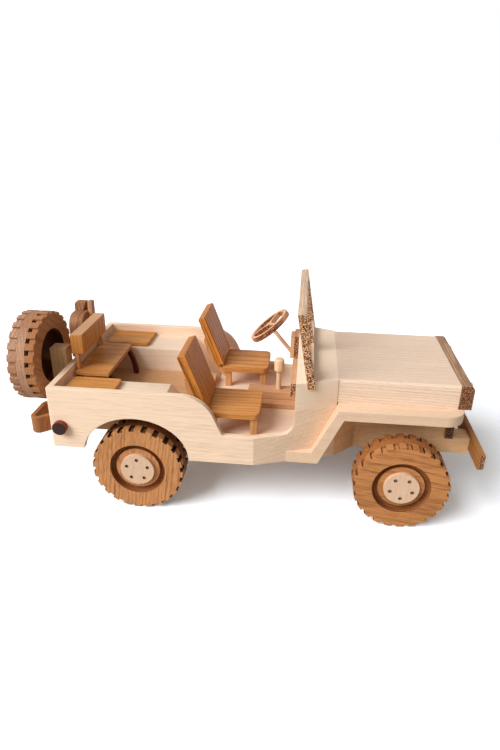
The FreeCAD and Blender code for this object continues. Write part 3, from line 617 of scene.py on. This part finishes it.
tyre_walnut = {
    "early": paint(210, 150, 100), "late": paint(116, 68, 36), "end": paint(164, 108, 70),
    "ring": 2.4, "sway": 7.0, "late_share": 0.34, "band_share": 0.6, "streak_share": 1.0,
    "fibre_share": 0.8, "pore_length": 0.12, "pore_share": 0.45, "end_share": 0.45,
    "gloss": 0.5, "relief": 0.08, "falloff_shade": 0,
}
front_walnut = dict(tyre_walnut, early=paint(202, 140, 88), late=paint(108, 62, 30), ring=1.9,
                    sway=5.0, streak_share=0.4, fibre_share=1.4, pore_length=0.07)
front_tread = dict(tyre_walnut, early=paint(178, 116, 66), late=paint(96, 54, 26))
# The rear tyres' middle and inner layers are darker, as painted shade under the arches.
rear_tread_shade = dict(tyre_walnut, early=paint(124, 76, 44), late=paint(66, 38, 21))
# The turned groove and the hollows are coloured darker, as painted shade in the recesses.
recess_shade = dict(tyre_walnut, early=paint(156, 98, 56), late=paint(92, 52, 26))
# Near black for the tyres' cuts: painted shade in the pockets and gaps, a darker colour on the front gaps'
# walls.
cut_shade_walnut = dict(tyre_walnut, early=paint(46, 25, 14), late=paint(24, 12, 7))
cut_shade_finish = sawn("tyre cut shade", cut_shade_walnut, UP, (210, -90))
rear_turn = 4.0
front_turn = 12.0
upright = Matrix.Rotation(math.pi / 2, 3, "X")
tyre_places = {
    "tyre_rear_right": (Vector((0.12, 0, 1)), (22, 30)),
    "tyre_rear_left": (Vector((1, 0, 0.3)), (30, -26)),
    "tyre_front_right": (Vector((1, 0, -0.12)), (26, 40)),
    "tyre_front_left": (Vector((0.4, 0, 1)), (-24, 34)),
}
for node, (grain, heart) in tyre_places.items():
    low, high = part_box(node)
    is_left = node.endswith("left")
    is_rear = "rear" in node
    wood, tread = (tyre_walnut, rear_tread_shade) if is_rear else (front_walnut, front_tread)
    place = Vector(((low.x + high.x) / 2, high.y if is_left else low.y, (low.z + high.z) / 2))
    # The rear tyres' gaps are near black all over, as painted shade under the arches.
    layers = tyre_layers(rear_turn if is_rear else front_turn, "all" if is_rear else "walls",
                         wheel_ring_height)
    wheel = hung(layers, upright, place, is_left)
    name = node.replace("_", " ")
    finishes = [sawn(name + " outer layer", wood, grain, heart),
                sawn(name + " middle layer", tread, Vector((grain.z, 0, -grain.x)), heart),
                sawn(name + " inner layer", tread, Vector((1, 0, 0.6)), heart),
                sawn(name + " turned groove", recess_shade, grain, heart),
                sawn(name + " hollow", recess_shade, grain, heart), cut_shade_finish]
    axle = "rear_axle" if is_rear else "front_axle"
    eased(fitted(node + "_layers", wheel, finishes, "tyre_wood", axle, node), edge=0.15)


# Hubs: pale maple discs cut with a hole saw and glued in the raised ring, with five drilled blind
# holes round the sanded end of the axle. The axles are plain dowels that turn in the beams.
hub_r = 13.3
hub_sides = 96
hub_thick = 2.8
hole_count = 5
hole_r = 1.45
hole_sides = 20
hole_circle = 8.7
hole_deep = 1.6
axle_r = 3.4
axle_deep = 0.1


def hub_disc(turn):
    """A flat disc, its face at height 0, with the sheet cut round each hole before they are sunk."""
    shape = bmesh.new()
    bmesh.ops.create_circle(shape, segments=hub_sides, radius=hub_r * MM)
    cuts = [(shape.edges[:], hub_thick, 0)]
    holes = [(hole_circle, turn + 360 / hole_count * index, hole_r, hole_deep, 1)
             for index in range(hole_count)]
    for out, around, radius, deep, finish in holes + [(0, 0, axle_r, axle_deep, 2)]:
        before = set(shape.edges)
        place = Matrix.Rotation(math.radians(around), 4, "Z") @ Matrix.Translation((out * MM, 0, 0))
        bmesh.ops.create_circle(shape, segments=hole_sides, radius=radius * MM, matrix=place)
        cuts.append(([e for e in shape.edges if e not in before], deep, finish))
    bmesh.ops.triangle_fill(shape, use_beauty=True, use_dissolve=False, edges=shape.edges[:])
    for edges, deep, finish in cuts:
        before = set(shape.faces)
        wall = bmesh.ops.extrude_edge_only(shape, edges=edges)["geom"]
        bmesh.ops.translate(shape, vec=(0, 0, -deep * MM),
                            verts=[v for v in wall if isinstance(v, bmesh.types.BMVert)])
        ends = [e for e in wall if isinstance(e, bmesh.types.BMEdge)]
        bmesh.ops.holes_fill(shape, edges=ends, sides=0)
        for face in [f for f in shape.faces if f not in before]:
            face.material_index = finish
    return shape


hub_maple = dict(maple, early=paint(226, 195, 168), late=paint(198, 160, 130), streak_share=0.4)
# The holes are coloured dark brown, as painted shade inside them.
hole_shade_maple = dict(hub_maple, early=paint(120, 84, 44), late=paint(84, 54, 26))
drilled = sawn("drilled hole", hole_shade_maple, ACROSS, (6, 60))
axle_maple = dict(hub_maple, early=paint(228, 196, 169), late=paint(200, 164, 134),
                  end=paint(226, 192, 164))
axle_finish = sawn("axle end", axle_maple, ACROSS, (5, 9))
for pair, axle, turn in (("hubs_rear", "rear_axle", 90), ("hubs_front", "front_axle", 54)):
    low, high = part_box(pair)
    centre = (low + high) / 2
    for side, y in (("right", low.y), ("left", high.y)):
        disc = hung(hub_disc(turn), upright, Vector((centre.x, y, centre.z)), side == "left")
        finishes = [sawn(pair + " disc " + side, hub_maple, Vector((0.1, 0, 1)), (6, 60)),
                    drilled, axle_finish]
        eased(fitted(pair + "_disc_" + side, disc, finishes, "pale_dowel", axle, pair), edge=0.2)
for axle in ("axle_front", "axle_rear"):
    board(axle, sawn(axle + " dowel", dowel_maple, ACROSS, (8, 5)))


# Spare tyre: the same tyre hung on a peg behind the tailgate, its hollow side to the body. A small
# maple block on the tailgate carries the peg, whose end stands just proud of the turned ring.
spare_turn = 9.5
low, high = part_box("spare_tyre")
backward = Matrix.Rotation(-math.pi / 2, 3, "Z") @ upright
spare_place = Vector((low.x, (low.y + high.y) / 2, (low.z + high.z) / 2))
spare = hung(tyre_layers(spare_turn, "pockets", spare_ring_height), backward, spare_place)
spare_walnut = dict(tyre_walnut, early=paint(196, 154, 126), late=paint(118, 80, 56))
inner_walnut = dict(spare_walnut, early=paint(192, 138, 96), late=paint(134, 82, 50))
# The spare's hollow is near black, as painted shade inside it.
hollow_shade_walnut = dict(recess_shade, early=paint(84, 46, 26), late=paint(40, 20, 12))
spare_finishes = [sawn("spare outer layer", spare_walnut, Vector((0, 1, 0.4)), (40, 20)),
                  sawn("spare middle layer", spare_walnut, UP, (30, 30)),
                  sawn("spare inner layer", inner_walnut, Vector((0, 1, -0.7)), (24, 40)),
                  sawn("spare turned groove", recess_shade, UP, (40, 20)),
                  sawn("spare hollow", hollow_shade_walnut, UP, (40, 20)),
                  cut_shade_finish]
spare_piece = fitted("spare_tyre_layers", spare, spare_finishes, "tyre_wood", "body", "spare_tyre")
eased(spare_piece, edge=0.15)
block_maple = dict(rail_wood, early=paint(206, 172, 130), late=paint(160, 122, 82))
board("spare_block", sawn("spare block", block_maple, UP, (60, 40)))
peg_walnut = dict(tyre_walnut, early=paint(120, 74, 48))
board("spare_peg", sawn("spare dowel", peg_walnut, ALONG, (6, 6)))


# Fuel can: three layers of greyed walnut glued face to face, the near shoulder rounded. The front
# layer rises as the handle, and a leaning cap on the back layer leaves a dark notch beside it.
grey_walnut = {
    "early": paint(184, 134, 100), "late": paint(106, 70, 48), "end": paint(140, 94, 64),
    "ring": 3.0, "sway": 7.0, "late_share": 0.4, "band_share": 0.8, "streak_share": 0.9,
    "fibre_share": 0.7, "pore_length": 0.12, "pore_share": 0.45, "end_share": 0.4,
    "gloss": 0.5, "relief": 0.07, "falloff_shade": 0,
}
can_low, can_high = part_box("fuel_can")
wide = (can_high.y - can_low.y) / MM
tall = (can_high.z - can_low.z) / MM
back_thick = 8.0
front_thick = 4.1
shoulder_top = 39.6
shoulder_r = 10.5
foot_r = 3.0
handle_near = 16.8
handle_foot = 13.0
cap_top = 47.6
cap_near = 17.0
cap_lean = 2.6
cap_slant = (1.6, 2.4)
riser_wide = 3.3
riser_below = 1.0


def plate(outline, thickness, along):
    """A flat outline in mm from the can's low corner, pushed out into a layer."""
    shape = bmesh.new()
    face = shape.faces.new([shape.verts.new(can_low + Vector(corner) * MM) for corner in outline])
    pushed = bmesh.ops.extrude_face_region(shape, geom=[face])["geom"]
    bmesh.ops.translate(shape, vec=along * thickness * MM,
                        verts=[v for v in pushed if isinstance(v, bmesh.types.BMVert)])
    bmesh.ops.recalc_face_normals(shape, faces=shape.faces)
    return shape


def rounded(shape, radius, corner):
    """Rounds the edge along X that runs through one corner, in mm from the can's low corner."""
    at = can_low + Vector(corner) * MM
    edges = [e for e in shape.edges if all((v.co - at).yz.length < 0.01 * MM for v in e.verts)]
    bmesh.ops.bevel(shape, geom=edges, offset=radius * MM, offset_type="OFFSET", segments=10, profile=0.5,
                    affect="EDGES", material=-1)
    return shape


def shouldered(start, thickness):
    """A layer of the can's body, its top corner rounded wide and its foot a little."""
    top = (start, 0, shoulder_top)
    slab = plate([(start, 0, 0), (start, wide, 0), (start, wide, shoulder_top), top], thickness, ALONG)
    return rounded(rounded(slab, shoulder_r, top), foot_r, (start, 0, 0))


front = back_thick + front_thick
front_layer = plate([(front, 0, 0), (front, wide, 0), (front, wide, tall), (front, handle_near, tall),
                     (front, handle_near, handle_foot), (front, 0, handle_foot)], front_thick, ALONG)
cap = plate([(0, cap_near, shoulder_top), (0, cap_near, cap_top - cap_slant[1]),
             (cap_slant[0], cap_near, cap_top), (back_thick + cap_lean, cap_near, cap_top),
             (back_thick, cap_near, shoulder_top)], wide - cap_near, ACROSS)
riser_near = wide - riser_wide
riser_top = cap_top - riser_below
riser = plate([(back_thick, riser_near, shoulder_top), (back_thick, wide, shoulder_top),
               (back_thick, wide, riser_top), (back_thick, riser_near, riser_top)], front_thick, ALONG)
can = glued([(shouldered(0, back_thick), 0), (shouldered(back_thick, front_thick), 1),
             (front_layer, 2), (cap, 0), (riser, 1)])
middle_walnut = dict(grey_walnut, early=paint(172, 122, 90))
front_plate_walnut = dict(grey_walnut, early=paint(212, 162, 126))
can_finishes = [sawn("can back layer", grey_walnut, UP, (30, 20)),
                sawn("can middle layer", middle_walnut, UP, (-24, 34)),
                sawn("can front layer", front_plate_walnut, UP, (12, -44))]
eased(fitted("fuel_can_layers", can, can_finishes, "grey_walnut", "body", "fuel_can"), edge=0.45)


# Rear loops and tail pegs: brown strips bent to open loops and glued behind the body's low corners,
# and short dark pegs with blackened ends, glued on the side boards' outer faces.
loop_strip = dict(walnut_strip, early=paint(180, 122, 80), late=paint(106, 64, 38))
board("rear_loops", sawn("loop strip", loop_strip, ACROSS, (40, 50)), edge=0.8)
dark_peg = dict(walnut_strip, early=paint(150, 70, 50), late=paint(90, 38, 28), end=paint(50, 38, 36),
                end_share=0.95)
board("tail_pegs", sawn("dark peg", dark_peg, ACROSS, (6, 5)), edge=0.6)


# Studio: white paper under the model, a soft lamp from the left, a wider and fainter one from above,
# and the camera where the photograph was taken. The paper and the room look white to the camera and
# in a sheen, and light the wood less.
def seen_or_mirrored(steps):
    """1 where a ray comes from the camera, a sheen or glass, and 0 where it lights the wood."""
    rays = [steps.step("ShaderNodeLightPath", gives=ray)
            for ray in ("Is Camera Ray", "Is Glossy Ray", "Is Transmission Ray")]
    return rays[0] + rays[1] + rays[2]


floor_half = 6.0
floor_shape = bmesh.new()
bmesh.ops.create_grid(floor_shape, x_segments=1, y_segments=1, size=floor_half)
floor_mesh = bpy.data.meshes.new("studio_floor")
floor_shape.to_mesh(floor_mesh)
floor_shape.free()
studio_floor = bpy.data.objects.new("studio_floor", floor_mesh)
bpy.context.scene.collection.objects.link(studio_floor)
paper = Finish("white paper")
lit = paper.step("ShaderNodeBsdfDiffuse", None, {"Color": (0.55, 0.5, 0.43, 1)})
sheet = paper.step("ShaderNodeBsdfDiffuse", None, {"Color": (1.2, 1.28, 1.4, 1)})
faint_glow = paper.step("ShaderNodeEmission", None, {"Strength": 0.1})
bright = paper.step("ShaderNodeAddShader", None, {0: sheet, 1: faint_glow})
surface = paper.step("ShaderNodeMixShader", None, {0: seen_or_mirrored(paper), 1: lit, 2: bright})
paper.step("ShaderNodeOutputMaterial", None, {"Surface": surface})
floor_mesh.materials.append(paper.material)

world = bpy.data.worlds.new("white room")
world.use_nodes = True
room = Steps(world.node_tree)
glow = room.step("ShaderNodeBackground", None, {"Color": (1.0, 0.86, 0.7, 1), "Strength": 0.17})
white = room.step("ShaderNodeBackground", None, {"Color": (1, 1, 1, 1)})
walls = room.step("ShaderNodeMixShader", None, {0: seen_or_mirrored(room), 1: glow, 2: white})
room.step("ShaderNodeOutputWorld", None, {"Surface": walls})
bpy.context.scene.world = world


def lamp(name, direction, strength, spread, colour):
    light = bpy.data.lights.new(name, "SUN")
    light.energy = strength
    light.angle = math.radians(spread)
    light.color = colour
    holder = bpy.data.objects.new(name, light)
    bpy.context.scene.collection.objects.link(holder)
    holder.rotation_mode = "QUATERNION"
    holder.rotation_quaternion = Vector(direction).normalized().to_track_quat("Z", "Y")


lamp("left softbox", (-0.60, -0.50, 0.62), 3.45, 40, (1.0, 0.99, 0.975))
lamp("top softbox", (0.1, -0.45, 0.89), 0.44, 80, (1.0, 0.97, 0.93))

camera = bpy.data.cameras.new("camera")
camera.lens = 27.124
camera.sensor_width = 36.0
camera.clip_start = 0.01
viewer = bpy.data.objects.new("camera", camera)
bpy.context.scene.collection.objects.link(viewer)
eye = Vector((42.0275, -432.4025, 292.3495)) * MM
yaw = -0.0981897
pitch = 0.4377279
roll = 0.0150856
ahead = Vector((math.sin(yaw) * math.cos(pitch), math.cos(yaw) * math.cos(pitch), -math.sin(pitch)))
level = Vector((math.cos(yaw), -math.sin(yaw), 0))
upward = level.cross(ahead)
right = level * math.cos(roll) + upward * math.sin(roll)
above = upward * math.cos(roll) - level * math.sin(roll)
turned_view = Matrix((right, above, -ahead)).transposed().to_4x4()
viewer.matrix_world = Matrix.Translation(eye) @ turned_view
bpy.context.scene.camera = viewer
bpy.context.scene.view_settings.view_transform = "Standard"
